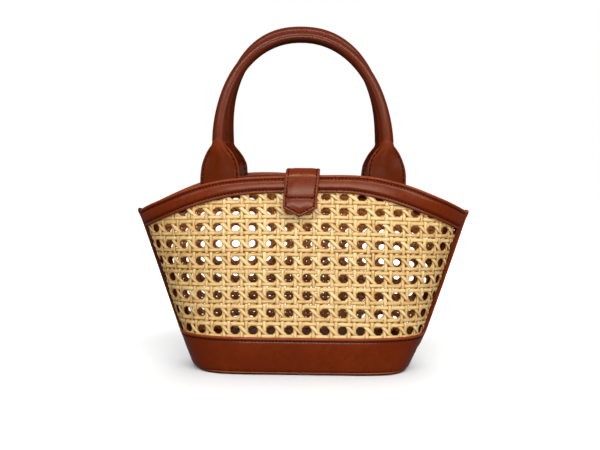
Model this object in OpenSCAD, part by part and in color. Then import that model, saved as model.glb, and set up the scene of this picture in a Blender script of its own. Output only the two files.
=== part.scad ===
// Small structured handbag: open cane-webbing body between leather trims,
// two rolled leather handles and a pointed closure strap over the mouth.
// Millimetres. Z up, front of the bag towards -Y, origin at the middle of
// the underside.

/* [Body] */
// Height of the rim at the middle of the bag
body_h = 142.5; // [130:0.5:160]
// Height of the rim at the two side seams
corner_h = 117.5; // [105:0.5:125]
// Half width of the body at the top corners
top_half_w = 120; // [110:0.5:130]
// Half width of the body at the top of the skirt
skirt_half_w = 88.5; // [82:0.5:95]
// Half width of the body at the floor
base_half_w = 77; // [68:0.5:80]
// Half depth of the body at the floor
base_half_d = 29.5; // [26:0.5:33]
// Half depth of the body at mid height
mid_half_d = 34; // [31:0.5:38]
// Half depth of the body at the rim
rim_half_d = 29; // [26:0.5:32]
// Height of the leather skirt
skirt_h = 28.5; // [22:0.5:34]
// Thickness of the woven cane
cane_t = 1.2; // [0.8:0.1:1.6]
// Thickness of the outer leather
leather_t = 1.5; // [1:0.1:2]

/* [Trim] */
// Width of the leather band along the rim
band_w = 12.8; // [10:0.2:16]
// How far the side binding stands out of the seam
binding_out = 2.8; // [1.5:0.1:4]
// Thickness of the side binding across the seam
binding_t = 3.4; // [2.6:0.1:4.5]
// Diameter of the welt around the base
welt_d = 2.4; // [1.8:0.1:3]
// Thickness of the leather bottom panel
bottom_t = 2; // [1.5:0.1:2.5]
// Thickness of the stiffening board inside the base
board_t = 2; // [1.2:0.1:3]

/* [Handles] */
// Diameter of the rolled handle
tube_d = 8.9; // [7.5:0.1:10]
// Half spacing of the two legs of a handle
leg_x = 60.7; // [58:0.1:63]
// Height of the bend line of the tabs above the floor
hinge_z = 145.5; // [145:0.1:147]
// Distance of the bend line of the tabs from the middle plane
hinge_y = 25.4; // [25:0.1:26]
// Length of a handle from its bend line to the middle of its arch
handle_len = 107.7; // [95:0.1:110]
// Width of the sewn tab at the foot of a handle
tab_w = 28; // [24:0.5:30]
// Height of the flare from tab to tube above the bend line
flare_h = 20.5; // [17:0.5:24]
// Thickness of the sewn tab
tab_t = 2.2; // [1.8:0.1:2.4]
// Inward lean of the front handle in degrees
front_lean = 18; // [14:0.5:18.5]
// Inward lean of the rear handle in degrees
rear_lean = 4; // [2:0.5:6]
// Sideways lean of both handles, as a share of their height
sway = -0.028; // [-0.04:0.001:0.04]

/* [Closure strap] */
// Width of the closure strap
strap_w = 24; // [20:0.5:27]
// Height of the strap's point above the floor
strap_tip_z = 115; // [110:0.5:120]
// Height of the pointed end of the strap
strap_point = 6.2; // [4:0.1:9]
// Thickness of the strap's outer leather
strap_t = 1.4; // [1:0.1:1.8]
// Thickness of the strap's lining
lining_t = 1.2; // [0.8:0.1:1.4]
// Diameter of the magnetic snap
snap_d = 11; // [9:0.5:12]

/* [Hidden] */

leather = [0.45, 0.19, 0.09];
leather_dark = [0.33, 0.13, 0.06];
cane = [0.86, 0.71, 0.44];
steel = [0.72, 0.70, 0.66];
board = [0.55, 0.47, 0.36];

// ---- the curved wall of the body -----------------------------------------
// u runs from -1 at one side seam to 1 at the other, z is the height.

// share of the rim's drop at a fraction s of the half width: level in the
// middle, then a straight slope out to the corner
function drop(s) = let (t = min(1, max(0, (s - 0.16) / 0.64)))
    (0.64 * (pow(t, 3) - pow(t, 4) / 2) + max(0, s - 0.8)) / 0.52;
function rim(u) = body_h - (body_h - corner_h) * drop(abs(u));
function rim_slope(u) = (rim(min(1, abs(u) + 0.01)) - rim(abs(u) - 0.01))
    / (0.02 * top_half_w);

function half_w(z) = z < skirt_h
    ? base_half_w + (skirt_half_w - base_half_w) * z / skirt_h
    : skirt_half_w + (top_half_w - skirt_half_w) * (z - skirt_h) / (corner_h - skirt_h);
function half_d(z) = lookup(z, [
    [0, base_half_d], [skirt_h, mid_half_d - 1.2], [0.5 * body_h, mid_half_d],
    [0.74 * body_h, mid_half_d - 0.9], [0.9 * body_h, (mid_half_d + rim_half_d) / 2 - 0.3],
    [body_h, rim_half_d], [body_h + 10, rim_half_d - 2.2]]);
// the plan goes from a rounded box at the floor to a lens at the rim
function pow_x(z) = lookup(z, [[0, 4.6], [30, 4.4], [110, 3.6], [145, 3.4]]);
function pow_y(z) = lookup(z, [[0, 2], [30, 1.75], [110, 1.25], [145, 1.15]]);

function wall(u, z) = [u * half_w(z),
    -half_d(z) * pow(max(0, 1 - pow(abs(u), pow_x(z))), 1 / pow_y(z)), z];
function unit(v) = v / norm(v);
function wall_n(u, z) = let (c = max(-0.992, min(0.992, u)), e = 0.004)
    unit(cross(wall(c + e, z) - wall(c - e, z), wall(c, z + 0.5) - wall(c, z - 0.5)));
function wall_at(u, z, o) = wall(u, z) + o * wall_n(u, z);

// shared steps across the width, closer together towards the seams; a step
// of 1 lies where the wall is still y_end away from the middle plane
u_n = 28;
steps = [for (i = [0:u_n]) let (t = 2 * i / u_n - 1) sign(t) * (1 - pow(1 - abs(t), 1.8))];
function u_end(z, y_end) = pow(1 - pow(y_end / half_d(z), pow_y(z)), 1 / pow_x(z));
function u_at(t, z, y_end) = y_end == 0 ? t : t * u_end(z, y_end);
function u_between(a, b, n) = [for (i = [0:n]) a + (b - a) * i / n];

// closed sheet between two offsets of the wall, from height lo(u) to hi(u);
// los and his hold those heights for each step of us
module wall_sheet(us, los, his, m, o_out, o_in, y_end = 0) {
    n = len(us) - 1;
    function id(k, i, j) = k * (n + 1) * (m + 1) + i * (m + 1) + j;
    pts = [for (k = [0, 1]) for (i = [0:n]) for (j = [0:m])
        let (z = los[i] + (his[i] - los[i]) * j / m)
        wall_at(u_at(us[i], z, y_end), z, k == 0 ? o_out : o_in)];
    quads = concat(
        [for (i = [0:n - 1]) for (j = [0:m - 1])
            [id(0, i, j), id(0, i, j + 1), id(0, i + 1, j + 1), id(0, i + 1, j)]],
        [for (i = [0:n - 1]) for (j = [0:m - 1])
            [id(1, i, j), id(1, i + 1, j), id(1, i + 1, j + 1), id(1, i, j + 1)]],
        [for (i = [0:n - 1]) [id(0, i, 0), id(0, i + 1, 0), id(1, i + 1, 0), id(1, i, 0)]],
        [for (i = [0:n - 1]) [id(0, i, m), id(1, i, m), id(1, i + 1, m), id(0, i + 1, m)]],
        [for (j = [0:m - 1]) [id(1, 0, j), id(1, 0, j + 1), id(0, 0, j + 1), id(0, 0, j)]],
        [for (j = [0:m - 1]) [id(1, n, j), id(0, n, j), id(0, n, j + 1), id(1, n, j + 1)]]);
    polyhedron(pts, [for (q = quads) for (t = [[q[0], q[1], q[2]], [q[0], q[2], q[3]]]) t],
        convexity = 6);
}

// ---- tubes ----------------------------------------------------------------
// closed solid through rings of equal point count; ends capped unless closed
module skin(rings, closed = false) {
    n = len(rings);
    k = len(rings[0]);
    last = closed ? n - 1 : n - 2;
    sides = [for (i = [0:last]) for (j = [0:k - 1])
        let (a = i * k + j, b = i * k + (j + 1) % k,
             c = ((i + 1) % n) * k + (j + 1) % k, d = ((i + 1) % n) * k + j)
        for (t = [[a, c, b], [a, d, c]]) t];
    caps = closed ? [] : [[for (j = [0:k - 1]) j], [for (j = [k - 1:-1:0]) (n - 1) * k + j]];
    polyhedron([for (r = rings) for (p = r) p], concat(sides, caps), convexity = 8);
}

function rounded(c, e) = sign(c) * pow(abs(c), e);

// ---- pieces of the body ---------------------------------------------------
tuck = 6;      // how far the cane runs under the leather
gap = 0.15;    // slack between layers
cane_in = -cane_t;
band_out = gap + leather_t;
root_out = cane_in - 0.4;
root_in = root_out - 1.8;
facing_out = root_in - gap;
facing_in = facing_out - 1.2;

function band_low(u) = rim(u) - band_w * sqrt(1 + pow(rim_slope(u), 2));

module cane_sheet() color(cane)
    wall_sheet(steps, [for (t = steps) skirt_h - tuck], [for (t = steps) rim(t) - 4], 10, 0, cane_in, 2.6);
module top_band() color(leather)
    wall_sheet(steps, [for (t = steps) band_low(t)], [for (t = steps) rim(t)], 3, band_out, gap, 1.9);
module band_facing() color(leather_dark)
    wall_sheet(steps, [for (t = steps) band_low(t)], [for (t = steps) rim(t) - 0.6], 3, facing_out, facing_in, 6);
module skirt() color(leather)
    wall_sheet(steps, [for (t = steps) welt_d + 0.4], [for (t = steps) skirt_h], 5, band_out, gap, 1.9);

module front_cane_panel() cane_sheet();
module rear_cane_panel() mirror([0, 1, 0]) cane_sheet();
module front_top_band() top_band();
module rear_top_band() mirror([0, 1, 0]) top_band();
module front_band_facing() band_facing();
module rear_band_facing() mirror([0, 1, 0]) band_facing();
module front_skirt() skirt();
module rear_skirt() mirror([0, 1, 0]) skirt();

// leather folded over the side seam: a fin that fades out above the floor
module side_binding() color(leather_dark) {
    zs = concat([welt_d + 0.6, 8], [for (i = [0:12]) 11 + (corner_h - 12) * i / 12]);
    outs = concat([0.1, 0.3], [for (i = [0:12]) binding_out * min(1, 0.3 + i / 3)]);
    rings = [for (i = [0:len(zs) - 1]) let (z = zs[i], w = half_w(z), x = w + outs[i],
            t = binding_t / 2, c = min(0.7, outs[i]))
        [[w - 1, -t, z], [x - c, -t, z], [x, -t + 0.7, z],
         [x, t - 0.7, z], [x - c, t, z], [w - 1, t, z]]];
    skin(rings);
}
module right_side_binding() side_binding();
module left_side_binding() mirror([1, 0, 0]) side_binding();

// plan of the base, drawn in by s
function base_plan(s, n) = [for (i = [0:n - 1]) let (a = 360 * i / n)
    [(base_half_w - s) * rounded(cos(a), 2 / pow_x(0)),
     (base_half_d - s) * rounded(sin(a), 2 / pow_y(0))]];

module base_welt() color(leather) {
    p = base_plan(-0.2, 72);
    r = welt_d / 2;
    skin([for (i = [0:71]) let (t = unit(p[(i + 1) % 72] - p[(i + 71) % 72]), m = [t[1], -t[0]])
        [for (j = [0:7]) let (a = -45 * j)
            [p[i][0] + m[0] * r * cos(a), p[i][1] + m[1] * r * cos(a), r + 0.25 + r * sin(a)]]],
        closed = true);
}
module bottom_panel() color(leather_dark)
    linear_extrude(bottom_t) polygon(base_plan(1.6, 72));
module base_board() color(board)
    translate([0, 0, bottom_t + 0.05]) linear_extrude(board_t) polygon(base_plan(4, 72));

// ---- handles --------------------------------------------------------------
// A handle is drawn flat in its own plane: x across, h up from the bend
// line, then leaned inwards about the bend line.
tab_x = 59.6;
arch_h = 24;
tube_r = tube_d / 2;
knuckle_r = tab_t / 2;

// flare: 0 at the tab, 1 where the tube is full
function flare(h) = let (t = max(0, min(1, (h - 4.5) / (flare_h - 4.5)))) t * t * (3 - 2 * t);
function tab_half(h) = tab_w / 2 + (tube_r - tab_w / 2) * pow(flare(h), 0.8);
function tab_thick(h) = tab_t / 2 + (tube_r - tab_t / 2) * flare(h);
function leg_at(h) = tab_x + (leg_x - tab_x) * flare(h);

leg_hs = [0, 3, 6, 8.5, 11, 13.5, 16, 18.5, flare_h, arch_h - 2];
arch_n = 24;
// rings as [centre x, centre h, direction angle, half width, half thickness, corner power]
function handle_path() = concat(
    [for (h = leg_hs) [-leg_at(h), h, 90, tab_half(h), tab_thick(h), 6 - 4 * flare(h)]],
    [for (i = [0:arch_n]) let (a = 180 - 180 * i / arch_n,
            x = leg_x * cos(a), h = arch_h + (handle_len - arch_h) * sin(a),
            dx = leg_x * sin(a), dh = -(handle_len - arch_h) * cos(a))
        [x, h, atan2(dh, dx), tube_r, tube_r, 2]],
    [for (k = [0:len(leg_hs) - 1]) let (h = leg_hs[len(leg_hs) - 1 - k])
        [leg_at(h), h, -90, tab_half(h), tab_thick(h), 6 - 4 * flare(h)]]);
function ring_at(p, k) = [for (j = [0:k - 1]) let (f = 360 * j / k,
        m = p[3] * rounded(cos(f), 2 / p[5]), n = p[4] * rounded(sin(f), 2 / p[5]))
        let (h = p[1] - m * cos(p[2])) [p[0] + m * sin(p[2]) + sway * h, n, h]];
// hollow of the sleeve: round in the tube, pressed flat between the layers
// of the tabs; the core fills it from tab to tab
function hollow_path() = [for (p = handle_path()) let (f = p[1] < arch_h ? flare(p[1]) : 1)
    [p[0], p[1], p[2], tube_r - 1.2, 0.35 + (tube_r - 1.55) * f, 2]];
function core_path() = [for (p = hollow_path()) if (p[4] > 1.2) [p[0], p[1], p[2], p[3] - 0.1, p[4] - 0.1, 2]];

// solid between an outer and an inner run of rings, open through its ends
module hollow_skin(outer, inner) {
    n = len(outer);
    k = len(outer[0]);
    function id(s, i, j) = s * n * k + i * k + j % k;
    quads = concat(
        [for (i = [0:n - 2]) for (j = [0:k - 1])
            [id(0, i, j), id(0, i, j + 1), id(0, i + 1, j + 1), id(0, i + 1, j)]],
        [for (i = [0:n - 2]) for (j = [0:k - 1])
            [id(1, i, j), id(1, i + 1, j), id(1, i + 1, j + 1), id(1, i, j + 1)]],
        [for (j = [0:k - 1]) [id(0, 0, j + 1), id(0, 0, j), id(1, 0, j), id(1, 0, j + 1)]],
        [for (j = [0:k - 1]) [id(0, n - 1, j), id(0, n - 1, j + 1), id(1, n - 1, j + 1), id(1, n - 1, j)]]);
    polyhedron([for (l = [outer, inner]) for (r = l) for (p = r) p],
        [for (q = quads) for (t = [[q[0], q[2], q[1]], [q[0], q[3], q[2]]]) t], convexity = 8);
}

module in_handle(side, lean)
    translate([0, side * hinge_y, hinge_z]) rotate([side * lean, 0, 0]) children();

module handle_sleeve() color(leather) {
    hollow_skin([for (p = handle_path()) ring_at(p, 16)], [for (p = hollow_path()) ring_at(p, 16)]);
    // rounded lower edge of the tabs, either side of the hollow
    for (s = [-1, 1]) for (e = [-1, 1])
        translate([s * tab_x + (e < 0 ? -tab_w / 2 + 0.4 : 4), 0, 0]) rotate([0, 90, 0])
            cylinder(r = knuckle_r, h = tab_w / 2 - 4.4, $fn = 32);
}
module handle_core() color(board) skin([for (p = core_path()) ring_at(p, 12)]);

module front_handle_sleeve() in_handle(-1, front_lean) handle_sleeve();
module rear_handle_sleeve() in_handle(1, rear_lean) handle_sleeve();
module front_handle_core() in_handle(-1, front_lean) handle_core();
module rear_handle_core() in_handle(1, rear_lean) handle_core();

// lower ends of the tabs, sewn in behind the rim bands
module handle_roots() color(leather_dark) {
    top = hinge_z - knuckle_r - 0.4;
    for (s = [-1, 1]) {
        us = u_between((s * tab_x - tab_w / 2 + 0.4) / half_w(138), (s * tab_x + tab_w / 2 - 0.4) / half_w(138), 4);
        wall_sheet(us, [for (u = us) rim(u) - 11], [for (u = us) top], 3, root_out, root_in);
    }
}
module front_handle_roots() handle_roots();
module rear_handle_roots() mirror([0, 1, 0]) handle_roots();

// ---- closure strap --------------------------------------------------------
// The strap is drawn as a side profile [y, z] of its middle layer, from the
// bend line behind the rear rim, over the mouth and down the front.
strap_hinge = [rim_half_d + 3, body_h + 3.7];
strap_clear = 5.6;
strap_bend = 7;
top_z = body_h + 5.4;
bend_c = [-(half_d(body_h) + strap_clear) + strap_bend, top_z - strap_bend];
strap_line = concat(
    [strap_hinge],
    [for (i = [1:6]) let (t = i / 7) [strap_hinge[0] + (bend_c[0] - strap_hinge[0]) * t,
        strap_hinge[1] + (top_z - strap_hinge[1]) * sin(90 * t)]],
    [for (i = [0:6]) [bend_c[0] - strap_bend * sin(14 * i), bend_c[1] + strap_bend * cos(14 * i)]],
    [for (i = [1:7]) let (z = bend_c[1] - (bend_c[1] - strap_tip_z + 1) * i / 7)
        [-(half_d(z) + strap_clear), z]]);
function line_n(l, i) = let (a = l[max(0, i - 1)], b = l[min(len(l) - 1, i + 1)], t = unit(b - a))
    [t[1], -t[0]];
function strap_side(l, o) = [for (i = [0:len(l) - 1]) l[i] + o * line_n(l, i)];
function turned(l) = [for (i = [len(l) - 1:-1:0]) l[i]];

module strap_layer(o1, o2, w, first) {
    l = [for (i = [first:len(strap_line) - 1]) strap_line[i]];
    intersection() {
        translate([-w / 2, 0, 0]) rotate([90, 0, 90]) linear_extrude(w)
            polygon(concat(strap_side(l, o1), turned(strap_side(l, o2))));
        rotate([90, 0, 0]) translate([0, 0, -60]) linear_extrude(120)
            polygon([[-w / 2 - 1, 170], [w / 2 + 1, 170],
                [w / 2 + 1, strap_tip_z + strap_point * (1 + 2 / w)], [0, strap_tip_z],
                [-w / 2 - 1, strap_tip_z + strap_point * (1 + 2 / w)]]);
    }
}
module closure_strap() color(leather) {
    strap_layer(strap_t + 0.05, 0.05, strap_w, 1);
    translate([-strap_w / 2, strap_hinge[0], strap_hinge[1]]) rotate([0, 90, 0])
        cylinder(r = strap_t, h = strap_w, $fn = 32);
    intersection() {
        strap_layer(strap_t, -strap_t, strap_w, 0);
        translate([-strap_w, strap_line[1][0] - 0.6, 0])
            cube([2 * strap_w, strap_hinge[0] - strap_line[1][0] + 0.6, 300]);
    }
}
module strap_lining() color(leather_dark)
    intersection() {
        strap_layer(-0.05, -0.05 - lining_t, strap_w - 1.2, 1);
        translate([-strap_w, -100, strap_tip_z + 0.8]) cube([2 * strap_w, 100 + strap_line[1][0] - 0.8, 300]);
    }

// rear end of the strap, sewn on the outside of the rear band
module strap_anchor() color(leather) mirror([0, 1, 0]) {
    us = u_between(-strap_w / 2 / half_w(136), strap_w / 2 / half_w(136), 4);
    wall_sheet(us, [for (u = us) body_h - band_w - 5], [for (u = us) strap_hinge[1] - strap_t - 2],
        4, band_out + gap + 2.6, band_out + gap);
}

// the two halves of the hidden magnetic snap, face to face
snap_z = body_h - 0.52 * band_w;
snap_tilt = atan2(half_d(snap_z - 3) - half_d(snap_z + 3), 6);
module at_snap(o) translate([0, -half_d(snap_z) , snap_z]) rotate([90 - snap_tilt, 0, 0])
    translate([0, 0, o]) children();
module band_snap() color(steel) at_snap(band_out + 0.05) cylinder(d = snap_d, h = 1, $fn = 48);
module strap_snap() color(steel) at_snap(band_out + 1.4) cylinder(d = snap_d, h = 1, $fn = 48);

front_cane_panel();
rear_cane_panel();
front_top_band();
rear_top_band();
front_band_facing();
rear_band_facing();
left_side_binding();
right_side_binding();
front_skirt();
rear_skirt();
base_welt();
bottom_panel();
base_board();
front_handle_roots();
rear_handle_roots();
front_handle_sleeve();
rear_handle_sleeve();
front_handle_core();
rear_handle_core();
strap_anchor();
closure_strap();
strap_lining();
strap_snap();
band_snap();
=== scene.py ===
import math
import bpy
import bmesh
import numpy as np
from mathutils import Matrix, Vector


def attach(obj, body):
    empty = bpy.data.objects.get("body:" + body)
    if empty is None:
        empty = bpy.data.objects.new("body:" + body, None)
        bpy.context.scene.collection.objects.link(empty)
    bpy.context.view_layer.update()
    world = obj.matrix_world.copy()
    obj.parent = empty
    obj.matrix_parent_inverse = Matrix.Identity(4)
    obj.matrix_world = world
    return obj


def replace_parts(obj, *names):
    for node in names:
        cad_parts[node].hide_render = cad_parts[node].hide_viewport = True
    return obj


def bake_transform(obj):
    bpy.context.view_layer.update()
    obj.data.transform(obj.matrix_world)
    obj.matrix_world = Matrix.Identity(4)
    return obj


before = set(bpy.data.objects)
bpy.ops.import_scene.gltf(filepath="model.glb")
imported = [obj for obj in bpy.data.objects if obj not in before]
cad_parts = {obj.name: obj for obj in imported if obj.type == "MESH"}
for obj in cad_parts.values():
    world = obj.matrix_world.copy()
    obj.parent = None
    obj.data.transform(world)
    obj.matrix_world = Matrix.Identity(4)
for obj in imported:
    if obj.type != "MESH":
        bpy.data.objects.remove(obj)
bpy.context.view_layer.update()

# Small structured handbag: cane webbing between leather trims, two rolled
# handles and a pointed closure strap. Shapes are worked out in millimetres
# and turned into metres when a mesh is made. Front of the bag towards -Y.
MM = 0.001
rng = np.random.default_rng(7)
scene = bpy.context.scene
scene.view_settings.view_transform = "Standard"
scene.view_settings.look = "None"


# ---------------------------------------------------------------------------
# camera
# ---------------------------------------------------------------------------
def make_camera():
    pitch, yaw, roll = math.radians(4.16), math.radians(1.2), math.radians(0.45)
    fwd = np.array([-math.sin(yaw) * math.cos(pitch), math.cos(yaw) * math.cos(pitch), -math.sin(pitch)])
    right = np.array([math.cos(yaw), math.sin(yaw), 0.0])
    up = np.cross(right, fwd)
    r2 = math.cos(roll) * right + math.sin(roll) * up
    u2 = -math.sin(roll) * right + math.cos(roll) * up
    data = bpy.data.cameras.new("camera")
    data.lens = 791.0 * 36.0 / 600.0
    data.sensor_width = 36.0
    data.sensor_fit = "HORIZONTAL"
    data.clip_start = 0.01
    cam = bpy.data.objects.new("camera", data)
    scene.collection.objects.link(cam)
    m = Matrix.Identity(4)
    for i in range(3):
        m[i][0], m[i][1], m[i][2] = r2[i], u2[i], -fwd[i]
    m[0][3], m[1][3], m[2][3] = 0.0097, -0.593, 0.150
    cam.matrix_world = m
    scene.camera = cam


make_camera()


# ---------------------------------------------------------------------------
# small numeric helpers
# ---------------------------------------------------------------------------
def curve(xs, ys):
    """Monotone cubic through the points, straight beyond both ends."""
    xs = np.array(xs, float)
    ys = np.array(ys, float)
    h = np.diff(xs)
    d = np.diff(ys) / h
    m = np.zeros_like(ys)
    for i in range(1, len(xs) - 1):
        if d[i - 1] * d[i] > 0:
            w1, w2 = 2 * h[i] + h[i - 1], h[i] + 2 * h[i - 1]
            m[i] = (w1 + w2) / (w1 / d[i - 1] + w2 / d[i])
    m[0], m[-1] = d[0], d[-1]

    def f(x):
        x = np.asarray(x, float)
        i = np.clip(np.searchsorted(xs, x) - 1, 0, len(h) - 1)
        t = (x - xs[i]) / h[i]
        t2, t3 = t * t, t * t * t
        v = ((2 * t3 - 3 * t2 + 1) * ys[i] + (t3 - 2 * t2 + t) * h[i] * m[i]
             + (-2 * t3 + 3 * t2) * ys[i + 1] + (t3 - t2) * h[i] * m[i + 1])
        return np.where(x < xs[0], ys[0] + m[0] * (x - xs[0]),
                        np.where(x > xs[-1], ys[-1] + m[-1] * (x - xs[-1]), v))
    return f


def smooth(a, b, x):
    t = np.clip((np.asarray(x, float) - a) / (b - a), 0, 1)
    return t * t * (3 - 2 * t)


def unit(v):
    return v / np.maximum(np.linalg.norm(v, axis=-1, keepdims=True), 1e-12)


def bell(x, c, w):
    return np.exp(-((np.asarray(x, float) - c) / w) ** 2)


def resample(p, n):
    """n points at equal steps along a polyline, with its length."""
    p = np.asarray(p, float)
    s = np.concatenate([[0], np.cumsum(np.linalg.norm(np.diff(p, axis=0), axis=1))])
    t = np.linspace(0, s[-1], n)
    return np.stack([np.interp(t, s, p[:, k]) for k in range(p.shape[1])], -1), s[-1]


# ---------------------------------------------------------------------------
# the curved wall of the body
# ---------------------------------------------------------------------------
body_h, corner_h = 142.5, 117.5
top_w, skirt_w, base_w, skirt_h = 120.0, 88.5, 77.0, 28.5
half_d = curve([0, 28.5, 71, 105.5, 128.2, 142.5, 152.5], [29.5, 32.8, 34, 33.1, 31.2, 29, 26.8])
pow_x = curve([0, 8, 30, 110, 145], [7.6, 6.0, 4.4, 3.6, 3.4])
pow_y = curve([0, 30, 110, 145], [2, 1.75, 1.25, 1.15])


def drop(s):
    s = np.abs(s)
    t = np.clip((s - 0.16) / 0.64, 0, 1)
    return (0.64 * (t ** 3 - t ** 4 / 2) + np.maximum(0, s - 0.8)) / 0.52


def rim0(u):
    return body_h - (body_h - corner_h) * drop(u)


def rim_slope(u):
    return (rim0(np.abs(u) + 0.01) - rim0(np.abs(u) - 0.01)) / (0.02 * top_w)


# hand-made unevenness of the two rims and of the lower edge of the bands
front_lift = curve([-1.0, -0.93, -0.8, -0.36, -0.235, -0.11, 0.105, 0.26, 0.38, 0.506, 0.7, 0.877, 1.0],
                   [0.2, 0.5, 0.2, -0.1, 0.4, 0.9, 1.65, 1.85, 1.75, 1.2, 1.2, 1.7, 1.6])
front_low = curve([-1.0, -0.957, -0.82, -0.7, -0.54, -0.39, -0.235, -0.02, 0.23, 0.35, 0.475, 0.6, 0.72, 0.845, 1.0],
                  [1.5, 1.6, 1.4, 1.1, 0.6, 0.8, 1.6, 2.2, 2.3, 1.4, 0.4, 0.0, 0.4, 1.1, 1.2])


def rim(u, side):
    if side < 0:
        return rim0(u) + front_lift(np.clip(u, -1, 1))
    return rim0(u) + (1.2 + 2.0 * np.tanh(-np.asarray(u) / 0.12)) * (1 - np.abs(u) ** 6)


def band_low(u, side):
    z = rim0(u) - 12.8 * np.sqrt(1 + rim_slope(u) ** 2)
    if side < 0:
        return z + front_low(np.clip(u, -1, 1))
    return z + 1.0 + 0.9 * np.tanh(-np.asarray(u) / 0.2)


def half_w(z):
    z = np.asarray(z, float)
    return np.where(z < skirt_h, base_w + (skirt_w - base_w) * z / skirt_h,
                    skirt_w + (top_w - skirt_w) * (z - skirt_h) / (corner_h - skirt_h))


# the body is a little wider than its plan, more so on the left
left_out = curve([0, 6, 30, 60, 95, 118, 145], [2.2, 3.4, 3.3, 3.0, 2.5, 2.4, 2.4])
right_out = curve([0, 6, 30, 60, 95, 118, 145], [0.5, 0.8, 1.9, 1.4, 0.4, -0.4, -0.4])


def wall_x(u, z):
    u = np.asarray(u, float)
    return u * half_w(z) + np.abs(u) ** 3 * np.where(u < 0, -left_out(z), right_out(z))


def wall(u, z):
    u = np.asarray(u, float)
    z = np.asarray(z, float)
    y = -half_d(z) * np.maximum(0, 1 - np.abs(u) ** pow_x(z)) ** (1 / pow_y(z))
    return np.stack([wall_x(u, z), y, z + 0 * u], -1)


def wall_n(u, z):
    c = np.clip(u, -0.992, 0.992)
    e = 0.004
    return unit(np.cross(wall(c + e, z) - wall(c - e, z), wall(c, z + 0.5) - wall(c, z - 0.5)))


def wall_at(u, z, o, side=-1):
    """Point at offset o outside the wall, with the wall's normal there."""
    n = wall_n(u, z)
    p = wall(u, z) + np.asarray(o)[..., None] * n
    if side > 0:
        p = p * np.array([1, -1, 1])
        n = n * np.array([1, -1, 1])
    return p, n


def u_end(z, y_end):
    return (1 - (y_end / half_d(z)) ** pow_y(z)) ** (1 / pow_x(z))


# ---------------------------------------------------------------------------
# mesh building
# ---------------------------------------------------------------------------
class Geo:
    """Collects quads and per-point values for one object."""

    def __init__(self):
        self.v, self.q, self.n = [], [], 0
        self.attr = {}

    def add(self, verts, quads, **attr):
        verts = np.asarray(verts, float).reshape(-1, 3)
        self.v.append(verts)
        self.q.append(np.asarray(quads, int) + self.n)
        for k, a in attr.items():
            self.attr.setdefault(k, []).append(np.asarray(a, float).reshape(len(verts), -1))
        self.n += len(verts)


def grid(r, c, wrap_r=False, wrap_c=False):
    i = np.arange(r if wrap_r else r - 1)
    j = np.arange(c if wrap_c else c - 1)
    a, b = np.meshgrid(i, j, indexing="ij")
    p = a * c + b
    q = a * c + (b + 1) % c
    s = ((a + 1) % r) * c + (b + 1) % c
    t = ((a + 1) % r) * c + b
    return np.stack([p, q, s, t], -1).reshape(-1, 4)


def cap(first, k):
    """Quads that close a ring of an even number of points."""
    i = np.arange(k // 2 - 1)
    return np.stack([first + i, first + i + 1, first + k - 2 - i, first + k - 1 - i], -1)


def tube(rings):
    """Closed quads for rings (R, K, 3) with both ends capped."""
    r, k = rings.shape[:2]
    return np.concatenate([grid(r, k, wrap_c=True), cap(0, k)[:, ::-1], cap((r - 1) * k, k)])


def make(name, geo, material, sharp=None):
    v = np.concatenate(geo.v)
    q = np.concatenate(geo.q)
    me = bpy.data.meshes.new(name)
    me.vertices.add(len(v))
    me.vertices.foreach_set("co", (v * MM).astype(np.float32).ravel())
    me.loops.add(4 * len(q))
    me.loops.foreach_set("vertex_index", q.astype(np.int32).ravel())
    me.polygons.add(len(q))
    me.polygons.foreach_set("loop_start", np.arange(0, 4 * len(q), 4, dtype=np.int32))
    me.update(calc_edges=True)
    me.validate()
    for k, parts in geo.attr.items():
        a = np.concatenate(parts).astype(np.float32)
        if a.shape[1] == 1:
            me.attributes.new(k, "FLOAT", "POINT").data.foreach_set("value", a.ravel())
        else:
            me.attributes.new(k, "FLOAT_VECTOR", "POINT").data.foreach_set("vector", a.ravel())
    me.attributes.new("rest", "FLOAT_VECTOR", "POINT").data.foreach_set("vector", (v * MM).astype(np.float32).ravel())
    bm = bmesh.new()
    bm.from_mesh(me)
    bmesh.ops.recalc_face_normals(bm, faces=bm.faces)
    bm.to_mesh(me)
    bm.free()
    me.shade_smooth()
    if sharp:
        me.set_sharp_from_angle(angle=math.radians(sharp))
    me.materials.append(material)
    ob = bpy.data.objects.new(name, me)
    scene.collection.objects.link(ob)
    return ob


def loft(points, tones=None, close=True):
    """Geo of a closed profile swept along a path: points (R, K, 3), tones (R, K)."""
    g = Geo()
    t = np.zeros(points.shape[:2]) if tones is None else np.broadcast_to(tones, points.shape[:2])
    g.add(points, tube(points) if close else grid(*points.shape[:2], wrap_r=True, wrap_c=True), tone=t)
    return g


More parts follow.
